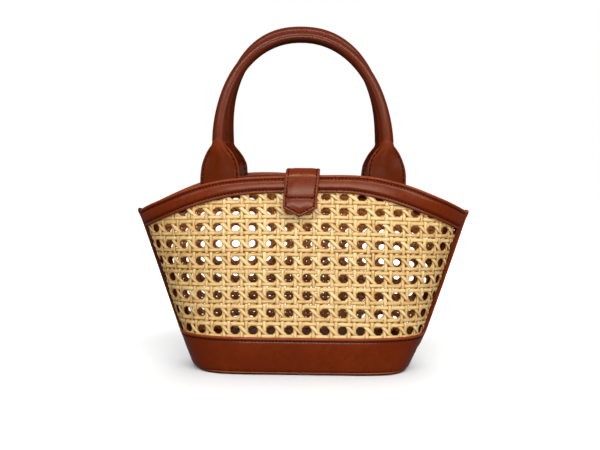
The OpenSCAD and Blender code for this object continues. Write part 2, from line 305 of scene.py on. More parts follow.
def stitches(geo, path, normals, pitch=2.7, length=1.9, r=0.3, lift=0.05, slant=0.0):
    """A row of short thread stitches, each a small bead that dips in at both ends."""
    path = np.asarray(path, float)
    s = np.concatenate([[0], np.cumsum(np.linalg.norm(np.diff(path, axis=0), axis=1))])
    n = max(1, int(round(s[-1] / pitch)))
    step = s[-1] / n
    k = 6
    along = np.array([-0.5, -0.44, -0.25, 0.0, 0.25, 0.44, 0.5]) * min(length, 0.8 * step)
    size = np.array([0.25, 0.72, 0.96, 1.0, 0.96, 0.72, 0.25]) * r
    dip = np.array([-0.34, -0.2, -0.05, 0.0, -0.05, -0.2, -0.34]) * r * 1.6
    a = 2 * np.pi * np.arange(k) / k
    for i in range(n):
        c = (i + 0.5) * step
        ts = np.clip(c + along, 0, s[-1])
        p = np.stack([np.interp(ts, s, path[:, j]) for j in range(3)], -1)
        nn = unit(np.array([np.interp(c, s, normals[:, j]) for j in range(3)]))
        t = unit(p[-1] - p[0])
        b = unit(np.cross(nn, t))
        p = p + b * (slant * along / length)[:, None]
        ring = (p[:, None] + (dip + lift)[:, None, None] * nn
                + size[:, None, None] * (np.cos(a)[None, :, None] * b + 0.85 * np.sin(a)[None, :, None] * nn))
        geo.add(ring, tube(ring), tone=np.full(ring.shape[:2], rng.normal(0, 0.3)))


# ---------------------------------------------------------------------------
# materials
# ---------------------------------------------------------------------------
class Nodes:
    def __init__(self, name):
        self.mat = bpy.data.materials.new(name)
        self.mat.use_nodes = True
        self.t = self.mat.node_tree
        self.bsdf = self.t.nodes["Principled BSDF"]

    def new(self, kind, **props):
        n = self.t.nodes.new(kind)
        for k, v in props.items():
            setattr(n, k, v)
        return n

    def link(self, a, b):
        self.t.links.new(a, b)

    def attr(self, name, vector=False):
        n = self.new("ShaderNodeAttribute", attribute_name=name)
        return n.outputs["Vector"] if vector else n.outputs["Fac"]

    def coords(self, cad=False):
        if cad:
            return self.new("ShaderNodeTexCoord").outputs["Object"]
        return self.attr("rest", True)

    def noise(self, vec, scale, detail=2.0, rough=0.5, dist=0.0):
        n = self.new("ShaderNodeTexNoise")
        n.inputs["Scale"].default_value = scale
        n.inputs["Detail"].default_value = detail
        n.inputs["Roughness"].default_value = rough
        n.inputs["Distortion"].default_value = dist
        self.link(vec, n.inputs["Vector"])
        return n.outputs["Fac"]

    def voronoi(self, vec, scale, feature="F1"):
        n = self.new("ShaderNodeTexVoronoi", feature=feature)
        n.inputs["Scale"].default_value = scale
        self.link(vec, n.inputs["Vector"])
        return n.outputs["Distance"]

    def math(self, op, a, b=None, clamp=False):
        n = self.new("ShaderNodeMath", operation=op, use_clamp=clamp)
        for i, x in enumerate((a, b)):
            if x is None:
                continue
            if isinstance(x, (int, float)):
                n.inputs[i].default_value = x
            else:
                self.link(x, n.inputs[i])
        return n.outputs[0]

    def ramp(self, fac, stops):
        n = self.new("ShaderNodeValToRGB")
        e = n.color_ramp.elements
        while len(e) < len(stops):
            e.new(0.5)
        for el, (p, c) in zip(e, stops):
            el.position = p
            el.color = (*c, 1)
        self.link(fac, n.inputs["Fac"])
        return n.outputs["Color"]

    def span(self, fac, lo, hi, a=0.0, b=1.0):
        n = self.new("ShaderNodeMapRange")
        n.inputs["From Min"].default_value = lo
        n.inputs["From Max"].default_value = hi
        n.inputs["To Min"].default_value = a
        n.inputs["To Max"].default_value = b
        self.link(fac, n.inputs["Value"])
        return n.outputs["Result"]

    def bump(self, height, strength, distance, normal=None):
        n = self.new("ShaderNodeBump")
        n.inputs["Strength"].default_value = strength
        n.inputs["Distance"].default_value = distance
        self.link(height, n.inputs["Height"])
        if normal is not None:
            self.link(normal, n.inputs["Normal"])
        return n.outputs["Normal"]

    def scaled(self, vec, sx, sy, sz):
        n = self.new("ShaderNodeMapping")
        n.inputs["Scale"].default_value = (sx, sy, sz)
        self.link(vec, n.inputs["Vector"])
        return n.outputs["Vector"]


def lin(r, g, b):
    f = lambda c: (c / 255 / 12.92) if c <= 10.3 else ((c / 255 + 0.055) / 1.055) ** 2.4
    return (f(r), f(g), f(b))


def leather(name, dark, mid, light, rough=0.42, cad=False, grain=1.0, spec=0.5, coat=0.0):
    """Smooth finished leather: soft mottling and fine pebble grain; the per-point tone paints highlights on folded
    edges and paints shade in the sewn grooves."""
    m = Nodes(name)
    p = m.coords(cad)
    cloud = m.noise(p, 38, 3, 0.55)
    fine = m.noise(p, 260, 3, 0.6)
    base = m.math("ADD", m.math("MULTIPLY", m.math("SUBTRACT", cloud, 0.5), 0.28),
                  m.math("MULTIPLY", m.math("SUBTRACT", fine, 0.5), 0.14))
    if not cad:
        # painted light and shade: the tone attribute lightens hems and edges and darkens grooves and undersides
        base = m.math("ADD", base, m.math("MULTIPLY", m.attr("tone"), 0.42))
    fac = m.math("ADD", base, 0.5, clamp=True)
    m.link(m.ramp(fac, [(0.0, dark), (0.5, mid), (1.0, light)]), m.bsdf.inputs["Base Color"])
    m.link(m.span(m.math("ADD", m.noise(p, 90, 3, 0.6), m.math("MULTIPLY", fine, 0.4)), 0.3, 1.1, rough - 0.06, rough + 0.09),
           m.bsdf.inputs["Roughness"])
    pebble = m.voronoi(p, 1500, "SMOOTH_F1")
    pore = m.noise(p, 2600, 2, 0.5)
    height = m.math("ADD", m.math("MULTIPLY", pebble, 0.7), m.math("MULTIPLY", pore, 0.3))
    n1 = m.bump(height, 0.08 * grain, 0.0002)
    n2 = m.bump(m.noise(p, 120, 3, 0.55), 0.06 * grain, 0.0012, n1)
    m.link(n2, m.bsdf.inputs["Normal"])
    m.bsdf.inputs["Specular IOR Level"].default_value = spec
    m.bsdf.inputs["Specular Tint"].default_value = (1.0, 0.84, 0.68, 1.0)          # waxed finish, warm sheen
    if coat:          # the grip is polished by the hand, the tabs stay dull
        sep = m.new("ShaderNodeSeparateXYZ")
        m.link(p, sep.inputs["Vector"])
        m.link(m.span(sep.outputs["Z"], 0.165, 0.235, 0.0, coat), m.bsdf.inputs["Coat Weight"])
        m.bsdf.inputs["Coat Roughness"].default_value = 0.26
    return m.mat


def cane_material():
    """Split rattan bark: glossy straw with long fibre streaks; each strand has its own tint, and its edges are darker
    where the bark was cut, which also paints the shade of their rounded sides."""
    m = Nodes("cane")
    f = m.attr("fibre", True)          # mm along the strand, mm across, strand number
    sep = m.new("ShaderNodeSeparateXYZ")
    m.link(f, sep.inputs["Vector"])
    tint = m.attr("tint")
    streak = m.noise(m.scaled(f, 0.10, 3.2, 1.0), 1.0, 3, 0.6)
    patch = m.noise(m.scaled(f, 0.16, 0.25, 1.0), 1.0, 2, 0.5)
    edge = m.span(m.math("ABSOLUTE", sep.outputs["Y"]), 0.62, 1.05, 0.0, 1.0)
    low = m.attr("tone")
    v = m.math("ADD", m.math("MULTIPLY", m.math("SUBTRACT", streak, 0.5), 0.75),
               m.math("MULTIPLY", m.math("SUBTRACT", patch, 0.5), 0.55))
    v = m.math("ADD", v, m.math("MULTIPLY", tint, 0.16))
    v = m.math("SUBTRACT", v, m.math("MULTIPLY", edge, 0.42))
    # painted highlight along the crest of each strand
    v = m.math("ADD", v, m.span(m.math("ABSOLUTE", sep.outputs["Y"]), 0.05, 0.6, 0.14, -0.04))
    # painted shade from the tone: darker where the strand lies low and on its underside
    v = m.math("ADD", v, m.math("MULTIPLY", low, 0.25))
    fac = m.math("ADD", v, 0.5, clamp=True)
    bark = m.ramp(fac, [(0.0, lin(100, 56, 19)), (0.3, lin(160, 120, 63)), (0.58, lin(190, 155, 98)), (1.0, lin(212, 187, 136))])
    # the back of the strand is pith coloured, darkened further as painted shade inside the bag
    back = m.ramp(fac, [(0.0, lin(98, 46, 9)), (0.5, lin(150, 84, 24)), (1.0, lin(188, 122, 48))])
    mix = m.new("ShaderNodeMix", data_type="RGBA")
    m.link(m.attr("pith"), mix.inputs["Factor"])
    m.link(bark, mix.inputs["A"])
    m.link(back, mix.inputs["B"])
    m.link(mix.outputs["Result"], m.bsdf.inputs["Base Color"])
    m.link(m.span(streak, 0.25, 0.75, 0.52, 0.36), m.bsdf.inputs["Roughness"])
    n1 = m.bump(m.noise(m.scaled(f, 0.3, 6.0, 1.0), 1.0, 2, 0.5), 0.25, 0.0001)
    m.link(n1, m.bsdf.inputs["Normal"])
    m.bsdf.inputs["Specular IOR Level"].default_value = 0.4
    return m.mat


def thread_material():
    m = Nodes("thread")
    p = m.coords()
    t = m.math("ADD", m.math("MULTIPLY", m.attr("tone"), 0.2), m.noise(p, 900, 2, 0.5), clamp=True)
    m.link(m.ramp(t, [(0.0, lin(16, 6, 4)), (0.55, lin(28, 10, 6)), (1.0, lin(52, 22, 12))]), m.bsdf.inputs["Base Color"])
    m.link(m.bump(m.noise(p, 2400, 2, 0.6), 0.4, 0.0001), m.bsdf.inputs["Normal"])
    m.bsdf.inputs["Roughness"].default_value = 0.7
    m.bsdf.inputs["Specular IOR Level"].default_value = 0.05
    return m.mat


def board_material():
    m = Nodes("fibre_board")
    p = m.coords(True)
    fibres = m.noise(m.scaled(p, 60, 420, 60), 1.0, 4, 0.65)
    m.link(m.ramp(fibres, [(0.2, lin(58, 34, 20)), (0.55, lin(84, 52, 30)), (0.9, lin(112, 74, 46))]), m.bsdf.inputs["Base Color"])
    m.link(m.bump(fibres, 0.3, 0.0003), m.bsdf.inputs["Normal"])
    m.bsdf.inputs["Roughness"].default_value = 0.85
    return m.mat


def cord_material():
    m = Nodes("filler_cord")
    p = m.coords(True)
    twist = m.noise(m.scaled(p, 500, 500, 160), 1.0, 3, 0.6)
    m.link(m.ramp(twist, [(0.2, lin(150, 132, 100)), (0.8, lin(206, 190, 158))]), m.bsdf.inputs["Base Color"])
    m.link(m.bump(twist, 0.5, 0.0004), m.bsdf.inputs["Normal"])
    m.bsdf.inputs["Roughness"].default_value = 0.9
    return m.mat


def steel_material():
    m = Nodes("snap_steel")
    p = m.coords(True)
    n = m.noise(p, 700, 3, 0.6)
    m.link(m.ramp(n, [(0.2, lin(150, 142, 128)), (0.8, lin(205, 198, 184))]), m.bsdf.inputs["Base Color"])
    m.link(m.span(n, 0.3, 0.7, 0.22, 0.38), m.bsdf.inputs["Roughness"])
    m.bsdf.inputs["Metallic"].default_value = 1.0
    return m.mat


def floor_material():
    """White sweep, lit from below outside a patch around the bag."""
    m = Nodes("studio_floor")
    p = m.coords(True)
    m.link(m.ramp(m.noise(p, 3, 2, 0.5), [(0.0, (0.58, 0.58, 0.58)), (1.0, (0.6, 0.6, 0.6))]), m.bsdf.inputs["Base Color"])
    far = m.new("ShaderNodeVectorMath", operation="LENGTH")
    m.link(p, far.inputs[0])
    glow = m.new("ShaderNodeMapRange", interpolation_type="SMOOTHSTEP")
    glow.inputs["From Min"].default_value = 0.08
    glow.inputs["From Max"].default_value = 0.42
    glow.inputs["To Max"].default_value = 0.9
    m.link(far.outputs["Value"], glow.inputs["Value"])
    m.bsdf.inputs["Emission Color"].default_value = (1, 1, 1, 1)
    m.link(glow.outputs["Result"], m.bsdf.inputs["Emission Strength"])
    m.bsdf.inputs["Roughness"].default_value = 0.8
    m.bsdf.inputs["Specular IOR Level"].default_value = 0.1
    m.mat.cycles.emission_sampling = "NONE"          # it is looked at, and lights nothing
    return m.mat


DARK, MID, LIGHT = lin(40, 9, 2), lin(88, 28, 4), lin(132, 55, 19)
saddle = leather("saddle_leather", DARK, MID, LIGHT, rough=0.27, grain=0.7, spec=0.21)
rolled = leather("rolled_leather", lin(38, 9, 2), lin(78, 25, 4), lin(128, 54, 18), rough=0.27, grain=0.2, spec=0.04, coat=0.26)
inner = leather("inner_leather", lin(34, 11, 5), lin(66, 26, 12), lin(98, 44, 24), rough=0.6, spec=0.2)
under = leather("base_leather", lin(50, 16, 7), lin(104, 42, 20), lin(140, 66, 38), rough=0.55, cad=True)
cane = cane_material()
thread = thread_material()
board = board_material()
cord = cord_material()
steel = steel_material()

# ---------------------------------------------------------------------------
# cane webbing
# ---------------------------------------------------------------------------
# Lattice: holes lie at whole numbers (i, j). Pairs of upright and level
# strands run half way between the holes, single strands cross on both
# diagonals between them.
row_z = curve(range(-2, 11), [8.0, 20.7, 33.35, 45.98, 58.7, 71.11, 83.49, 95.81, 107.67, 119.07, 129.1, 138.6, 147.6])
PITCH = 12.88
PAIR = 1.76 / PITCH

arc_z = np.linspace(14, 146, 67)
arc_u = np.linspace(0, 1, 601) ** 0.8
arc_s = {}
for sx in (-1, 1):
    _w = wall(sx * arc_u[None, :], arc_z[:, None])
    arc_s[sx] = np.concatenate([np.zeros((len(arc_z), 1)), np.cumsum(np.linalg.norm(np.diff(_w, axis=1), axis=2), axis=1)], 1)


def u_of(s, z):
    """Share of the half width at arc length s from the middle, at height z."""
    f = np.clip((z - arc_z[0]) / (arc_z[1] - arc_z[0]), 0, len(arc_z) - 1.001)
    i = f.astype(int)
    out = np.zeros_like(s)
    for k in np.unique(i):
        for sx in (-1, 1):
            m = (i == k) & ((s < 0) == (sx < 0))
            a = np.interp(np.abs(s[m]), arc_s[sx][k], arc_u, right=1.02)
            b = np.interp(np.abs(s[m]), arc_s[sx][k + 1], arc_u, right=1.02)
            out[m] = (a + (b - a) * (f[m] - k)) * sx
    return out


# the rear webbing sits a little lower and is drawn out unevenly
rear_z = curve(range(-2, 11), [3.0, 16.0, 28.9, 41.9, 54.9, 67.4, 79.2, 90.3, 101.6, 113.0, 124.0, 134.5, 144.5])
rear_s = curve([-110, -93, -80, -67, -54, -30, -5, 10, 23, 40, 55, 65, 74, 87, 110],
               [-108, -91.5, -79.2, -67, -54, -31.3, -6.6, 8.4, 22.6, 40.6, 56, 65.3, 73, 84.8, 106])


def lattice(x, y, side):
    if side < 0:
        s = 12.7 * (0.26 + 1.013 * x + 0.00026 * x ** 3)
        z = row_z(y) - 2.0 * (np.abs(s) / 90) ** 2.3
    else:
        s = rear_s(PITCH * (x + 0.789))
        z = rear_z(y) - 0.018 * (s + 54) - 2.0 * (np.abs(s) / 90) ** 2.3
        z = z + 0.105 * np.maximum(80 - z, 0) * smooth(15, 58, s)       # drawn up towards the right seam
    return s, z


section = np.array([(-1.0, -0.16), (-0.93, 0.12), (-0.62, 0.32), (-0.2, 0.4),
                    (0.2, 0.4), (0.62, 0.32), (0.93, 0.12), (1.0, -0.16), (0.78, -0.36), (-0.78, -0.36)])


pith = np.array([0.45, 0.0, 0.0, 0.0, 0.0, 0.0, 0.0, 0.45, 1.0, 1.0])     # the split back of the strand, also painted dark as shade inside the bag


def strand(geo, x, y, lift, width, side, number):
    """One strand along lattice points (x, y), raised by lift off the wall."""
    s, z = lattice(x, y, side)
    u = u_of(s, z)
    zlo = np.full_like(z, 21.8)
    zhi = band_low(u, side) + 5.0
    inside = np.minimum.reduce([(u_end(z, 1.0) - np.abs(u)) * half_w(z) + 0.8, z - zlo, zhi - z])
    ok = inside > 0
    if ok.sum() < 2:
        return
    edges = np.flatnonzero(np.diff(np.concatenate([[0], ok.astype(int), [0]])))
    for a, b in zip(edges[::2], edges[1::2]):
        idx = np.arange(a, b, dtype=float)
        if a > 0:
            f = inside[a] / (inside[a] - inside[a - 1])
            idx = np.concatenate([[a - f], idx])
        if b < len(x):
            f = inside[b - 1] / (inside[b - 1] - inside[b])
            idx = np.concatenate([idx, [b - 1 + f]])
        if len(idx) < 3:
            continue
        k = np.arange(len(x))
        ui, zi, li = np.interp(idx, k, u), np.interp(idx, k, z), np.interp(idx, k, lift)
        p, n = wall_at(ui, zi, np.zeros_like(ui))
        t = unit(np.gradient(p, axis=0))
        c = unit(np.cross(n, t))
        dist = np.concatenate([[0], np.cumsum(np.linalg.norm(np.diff(p, axis=0), axis=1))])
        wob = 0.12 * np.sin(dist / 23 + number * 2.4) + rng.normal(0, 0.06)
        wid = 0.5 * width * (1 + 0.05 * np.sin(dist / 17 + number * 1.7))
        ring = (p[:, None] + ((section[:, 0] * wid[:, None]) + wob[:, None])[..., None] * c[:, None]
                + ((-0.6 + li)[:, None] + section[:, 1] * 0.98)[..., None] * n[:, None])
        # trimmed along the side seam, under the binding
        lim = np.abs(wall_x(np.sign(ring[..., 0]) * u_end(ring[..., 2], 1.0), ring[..., 2]))
        cut = np.abs(ring[..., 0]) > lim
        ring[..., 0] = np.where(cut, np.sign(ring[..., 0]) * lim, ring[..., 0])
        ring[..., 1] = np.minimum(ring[..., 1], -0.35)
        if side > 0:
            ring = ring * np.array([1, -1, 1])
        r, m = ring.shape[:2]
        fib = np.stack([np.broadcast_to(dist[:, None] + number * 61.7, (r, m)),
                        np.broadcast_to(section[:, 0], (r, m)),
                        np.full((r, m), number * 3.31)], -1)
        # painted light and shade: strand parts that lie low and the undersides are darker, raised parts and tops are
        # lighter
        tone = np.clip(li[:, None] * 0.5 + section[:, 1] * 0.5, -1, 1)
        geo.add(ring, tube(ring), fibre=fib, pith=np.broadcast_to(pith, (r, m)), tint=np.full((r, m), np.clip(rng.normal(0, 0.6), -1.3, 1.3)), tone=tone)


def weave(side):
    geo = Geo()
    per = 8
    count = 0
    wide, slim, pair = (2.9, 2.75, PAIR) if side < 0 else (3.0, 2.8, 0.93 * PAIR)
    ys = np.arange(-2, 10 + 1e-6, 1 / per)
    xs = np.arange(-11, 12 + 1e-6, 1 / per)

    def wave(c, sign, amp=0.42):
        f = (c - 0.5) - np.round(c - 0.5)
        return sign * amp * (f / pair) * np.exp(0.5 - 0.5 * (f / pair) ** 2)

    for i in range(-11, 12):
        for e in (-1, 1):                       # upright pair
            count += 1
            strand(geo, np.full_like(ys, i + 0.5 + e * pair), ys, wave(ys, -e), wide * rng.uniform(0.96, 1.04), side, count)
    for j in range(-2, 10):
        for e in (-1, 1):                       # level pair
            count += 1
            strand(geo, xs, np.full_like(xs, j + 0.5 + e * pair), wave(xs, e), wide * rng.uniform(0.96, 1.04), side, count)
    for k in range(-22, 24):
        for d in (1, -1):                       # diagonals
            count += 1
            y = ys
            x = k + 0.5 + d * y
            c = np.cos(2 * np.pi * (x - 0.5))
            over = np.sign(c) * np.abs(c) ** 0.6 * 0.8
            lift = np.where(c > 0, -over, 0.4 * over) if d > 0 else 0.9 * over      # one set lies low, the other rides over the uprights
            strand(geo, x, y, lift, slim * rng.uniform(0.95, 1.05), side, count)
    return geo


front_cane = make("front_cane_weave", weave(-1), cane)
rear_cane = make("rear_cane_weave", weave(1), cane)
for ob, node in ((front_cane, "front_cane_panel"), (rear_cane, "rear_cane_panel")):
    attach(ob, "bag")
    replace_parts(ob, node)

# ---------------------------------------------------------------------------
# bands along the rim, with rolled hems, and the facings behind them
# ---------------------------------------------------------------------------
bag_thread = Geo()
steps = np.linspace(-1, 1, 181)
steps = np.sign(steps) * (1 - (1 - np.abs(steps)) ** 1.35)


def band_point(t, q, o, side, y_end):
    """Point a distance q below the rim, at offset o, for steps t across."""
    k = np.sqrt(1 + rim_slope(t) ** 2)
    z = rim(t, side) - q * k
    u = t * u_end(z, y_end)
    return wall_at(u, z, o, side)


def band(side):
    bw = (rim(steps, side) - band_low(steps, side)) / np.sqrt(1 + rim_slope(steps) ** 2)
    prof = []          # each: share of the width, added mm, offset, tone
    # the tones paint highlights on the rolled hems and painted shade in the sewn grooves
    for a, q, o, tone in [
            (1, -0.15, 0.62, -0.4), (1, 0.05, 0.95, 0.2), (1, -0.12, 1.42, 0.45), (1, -0.5, 1.74, 0.45), (1, -1.0, 1.82, 0.3),
            (1, -1.5, 1.66, 0.0), (1, -1.9, 1.42, -0.35), (1, -2.2, 1.3, -0.6), (1, -2.5, 1.46, -0.4), (1, -2.95, 1.82, -0.1),
            (1, -3.35, 2.1, 0.0), (1, -3.8, 2.27, 0.0), (1, -4.4, 2.36, 0.05), (0.5, 0, 2.44, 0.05), (0, 4.4, 2.36, 0.05), (0, 3.8, 2.27, 0.0),
            (0, 3.35, 2.1, 0.0), (0, 2.95, 1.84, -0.1), (0, 2.4, 1.48, -0.4), (0, 2.05, 1.32, -0.6), (0, 1.72, 1.5, -0.35), (0, 1.3, 1.84, 0.05),
            (0, 0.8, 2.05, 0.3), (0, 0.3, 1.95, 0.5), (0, -0.15, 1.55, 0.6), (0, -0.42, 1.0, 0.6), (0, -0.5, 0.4, 0.5),
            (0, -0.35, -0.45, 0.35), (0, 0.2, -1.05, 0.1), (0, 1.0, -1.22, 0.0), (0, 2.2, -1.25, -0.3), (0, 3.0, -1.0, -0.5),
            (0, 3.4, 0.1, -0.6), (0, 4.2, 0.62, -0.6)]:
        prof.append((a * bw + q, o, tone))
    pts = np.stack([band_point(steps, q, np.full_like(steps, o), side, 1.9)[0] for q, o, _ in prof], 1)
    tones = np.array([t for _, _, t in prof])
    ob = make("front_top_band_leather" if side < 0 else "rear_top_band_leather", loft(pts, tones), saddle, sharp=70)
    ts = np.linspace(-0.99, 0.99, 400)
    bws = np.interp(ts, steps, bw)
    for q, o in ((2.05 + 0 * ts, 1.36), (bws - 2.2, 1.34)):
        p, n = band_point(ts, q, np.full_like(ts, o), side, 1.9)
        stitches(bag_thread, p, n, pitch=2.5, length=1.7, r=0.42, lift=0.2)
    return ob


def facing(side):
    t = steps
    k = np.sqrt(1 + rim_slope(t) ** 2)
    bw = (rim(t, side) - band_low(t, side)) / k
    x = np.abs(t * half_w(rim0(t)))
    m = 1 - smooth(14.5, 19.5, np.abs(x - 59.3))
    base = -1.38 - 2.2 * m
    # the tones paint highlights on the folded edges and painted shade in the sewn grooves
    prof = [(0, 0.9, 0.0, 0.2), (0, 0.55, -0.35, 0.45), (0, 0.7, -0.85, 0.45), (0, 1.3, -1.12, 0.3), (0, 2.3, -1.0, -0.3),
            (0, 2.8, -0.78, -1.0), (0, 3.3, -1.0, -0.3), (0.5, 0, -1.2, 0.1), (1, -3.2, -1.0, -0.3), (1, -2.7, -0.78, -1.0),
            (1, -2.2, -1.0, -0.3), (1, -0.6, -1.12, 0.3), (1, -0.15, -0.75, 0.4), (1, -0.1, -0.2, 0.2), (1, -0.5, 0.05, 0.0), (0.5, 0, 0.05, 0.0)]
    pts = np.stack([band_point(t, a * bw + q, base + o, side, 4.6)[0] for a, q, o, _ in prof], 1)
    ob = make("front_facing_leather" if side < 0 else "rear_facing_leather", loft(pts, np.array([p[3] for p in prof])), inner, sharp=70)
    ts = np.linspace(-0.97, 0.97, 400)
    bws, bs = np.interp(ts, t, bw), np.interp(ts, t, base)
    for q in (2.8 + 0 * ts, bws - 2.7):
        p, n = band_point(ts, q, bs - 0.9, side, 4.6)
        stitches(bag_thread, p, -n, pitch=2.7, length=2.0, r=0.28, lift=0.06)
    return ob


for side, nm in ((-1, "front"), (1, "rear")):
    b = band(side)
    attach(b, "bag"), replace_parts(b, nm + "_top_band"), b
    f = facing(side)
    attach(f, "bag"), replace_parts(f, nm + "_band_facing"), f


# ---------------------------------------------------------------------------
# skirt around the base, welt and side bindings
# ---------------------------------------------------------------------------
def skirt(side):
    # the tones paint a highlight on the rolled top and painted shade in the stitch groove and on the turned-under lip
    prof = [(3.3, -4.4, -0.6), (2.6, -4.4, -0.6), (2.55, 0.35, -1.0), (2.6, 0.9, -1.0), (2.85, 1.4, -0.6), (3.6, 1.7, 0.0)]
    prof += [(z, 1.72 + 0.25 * math.sin(math.pi * (z - 3.6) / 21.4), 0.0) for z in (6, 9, 12, 15, 18, 21, 23.4)]
    prof += [(24.4, 1.72, -0.1), (25.0, 1.52, -0.35), (25.4, 1.36, -0.6), (25.8, 1.52, -0.35), (26.2, 1.86, 0.0), (26.7, 2.1, 0.3),
             (27.3, 2.12, 0.45), (27.8, 1.95, 0.55), (28.15, 1.6, 0.55), (28.3, 1.15, 0.4), (28.1, 0.75, 0.1), (27.0, 0.64, -0.4),
             (22.0, 0.62, -0.4), (20.5, 0.2, -0.4), (12, 0.15, -0.4), (6, 0.1, -0.4)]
    t = steps
    pts = []
    for z, o, _ in prof:
        zz = np.full_like(t, z)
        pts.append(wall_at(t * u_end(zz, 1.9), zz, np.full_like(t, o), side)[0])
    pts = np.stack(pts, 1)
    ob = make("front_skirt_leather" if side < 0 else "rear_skirt_leather", loft(pts, np.array([p[2] for p in prof])), saddle, sharp=70)
    ts = np.linspace(-0.985, 0.985, 400)
    zz = np.full_like(ts, 25.4)
    p, n = wall_at(ts * u_end(zz, 1.9), zz, np.full_like(ts, 1.4), side)
    stitches(bag_thread, p, n, pitch=2.5, length=1.7, r=0.42, lift=0.2)
    return ob


for side, nm in ((-1, "front"), (1, "rear")):
    s = skirt(side)
    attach(s, "bag"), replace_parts(s, nm + "_skirt"), s


def welt():
    a = np.linspace(-1, 1, 121)
    a = np.sign(a) * (1 - (1 - np.abs(a)) ** 2.0)
    f = wall(a, np.zeros_like(a))
    loop = np.concatenate([f[:-1], (f * np.array([1, -1, 1]))[::-1][:-1]])
    loop, _ = resample(np.concatenate([loop, loop[:1]]), 301)
    loop = loop[:-1]
    t = unit(np.roll(loop, -1, 0) - np.roll(loop, 1, 0))
    m = np.stack([t[:, 1], -t[:, 0], 0 * t[:, 0]], -1)
    k = 12
    an = 2 * np.pi * np.arange(k) / k
    r = 1.22
    pts = (loop + 0.2 * m)[:, None] + r * np.cos(an)[None, :, None] * m[:, None]
    pts[..., 2] = 1.45 + r * np.sin(an)
    # painted light and shade: the welt is lighter on its upper front and dark on its lower half, where it meets the
    # floor
    tone = np.broadcast_to(0.35 + 0.3 * np.cos(an - 0.9) - 2.2 * smooth(-0.2, 0.4, -np.sin(an)), pts.shape[:2])
    g = Geo()
    g.add(pts, grid(len(loop), k, True, True), tone=tone)
    return make("base_welt_leather", g, saddle)


w = welt()
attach(w, "bag"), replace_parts(w, "base_welt"), w


def binding(sx):
    """Leather folded over the side seam; it ends in a small rounded knob."""
    top = rim0(1.0) + (0.2 if sx < 0 else 0.9)
    zs = np.concatenate([[2.9, 3.4, 5, 8, 11, 14, 18], np.linspace(23, top - 4, 40), top - 4 + np.array([1.2, 2.2, 3.1, 3.9, 4.5, 4.9, 5.1])])
    out = (2.0 * smooth(4, 24, zs) if sx < 0 else 2.9 * smooth(6, 17, zs)) + 0.35
    out = out + 0.5 * smooth(top - 6, top - 2, zs)
    base = 1.9 + 0.9 * smooth(22, 32, zs)
    end = np.clip((zs - (top - 1.6)) / 2.7, 0, 1)
    shrink = np.sqrt(np.maximum(1 - end ** 2, 0.02))
    k = 18
    rings = []
    for z, o, b, s in zip(zs, out, base, shrink):
        x0 = abs(float(wall_x(sx, z))) - 1.6
        pts = []
        for xo, yy in [(0, -b * 0.9), (0.9, -b), (1.6, -b * 0.88), (1.6 + 0.35 * o, -1.7), (1.6 + 0.75 * o, -1.55), (1.6 + 0.93 * o, -1.1), (1.6 + o, -0.45)]:
            pts.append((xo, yy))
        pts = pts + [(xo, -yy) for xo, yy in pts[::-1]]
        pts += [(-0.6, b * 0.5), (-0.8, 0.15), (-0.8, -0.15), (-0.6, -b * 0.5)]
        p = np.array(pts)
        c = np.array([1.6 + 0.35 * o, 0])
        p = c + (p - c) * s
        rings.append(np.stack([sx * (x0 + p[:, 0]), p[:, 1], np.full(len(p), z)], -1))
    rings = np.array(rings)
    # its two inner legs lie flat against the inside of the front and rear webbing
    tz = np.linspace(21.0, rim0(1.0) - 9.0, 50)
    legs = []
    for sd in (-1, 1):
        prof = [(1.2, -1.95), (1.2, -2.55), (4.0, -2.75), (8.0, -2.7), (10.4, -2.55), (10.8, -2.3), (10.4, -2.05), (8.0, -1.95), (4.0, -1.95), (2.4, -1.95)]
        strip = []
        for z in tz:
            zz = np.full(len(prof), z)
            u0 = float(u_end(z, 1.9))
            row = arc_s[sx][int(np.clip(round((z - arc_z[0]) / (arc_z[1] - arc_z[0])), 0, len(arc_z) - 1))]
            full = np.interp(u0, arc_u, row)
            uu = sx * np.interp(full - np.array([q for q, _ in prof]), row, arc_u)
            strip.append(wall_at(uu, zz, np.array([o for _, o in prof]), sd)[0])
        legs.append(np.array(strip))
    # painted highlight on the crest of the fold and painted shade on its sides
    tone = np.array([-0.9, -0.7, -0.5, 0.0, 0.3, 0.5, 0.55, 0.55, 0.5, 0.3, 0.0, -0.5, -0.7, -0.9, -0.9, -0.9, -0.9, -0.9])
    # painted shade: the left binding is made darker than the right
    g = loft(rings, tone - (0.6 if sx < 0 else 0.0))
    for strip in legs:
        g.add(strip, tube(strip), tone=np.full(strip.shape[:2], -0.4))
    return make("right_seam_binding" if sx > 0 else "left_seam_binding", g, saddle, sharp=70)


for sx, nm in ((-1, "left"), (1, "right")):
    b = binding(sx)
    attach(b, "bag"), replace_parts(b, nm + "_side_binding"), b

# ---------------------------------------------------------------------------
# handles: rolled tube that flattens into sewn shield-shaped tabs
# ---------------------------------------------------------------------------
hinge_y, hinge_z = 25.4, 145.5
arch_h, handle_len, tube_r = 24.0, 107.2, 4.45
tab_half = curve([-15, -8.5, -2, 3, 6.4, 10, 13, 16.5, 19, 20.5, 21.6, 22.6],
                 [13.9, 14.5, 14.45, 14.0, 13.4, 12.2, 10.9, 8.9, 7.1, 5.95, 5.2, 4.95])
bulge = curve([-15, -3, 2, 6, 10, 14, 18, 22], [0.0, 0.8, 1.3, 1.8, 2.5, 3.3, 4.2, 4.9])
bulge_r = curve([-15, -3, 3, 8, 14, 18, 20.5, 22.6], [12.4, 12.4, 12.2, 11.3, 9.2, 7.0, 5.6, 4.95])
bulge_p = curve([-15, 3, 10, 16, 20, 22.6], [1.4, 1.2, 1.0, 0.8, 0.6, 0.5])


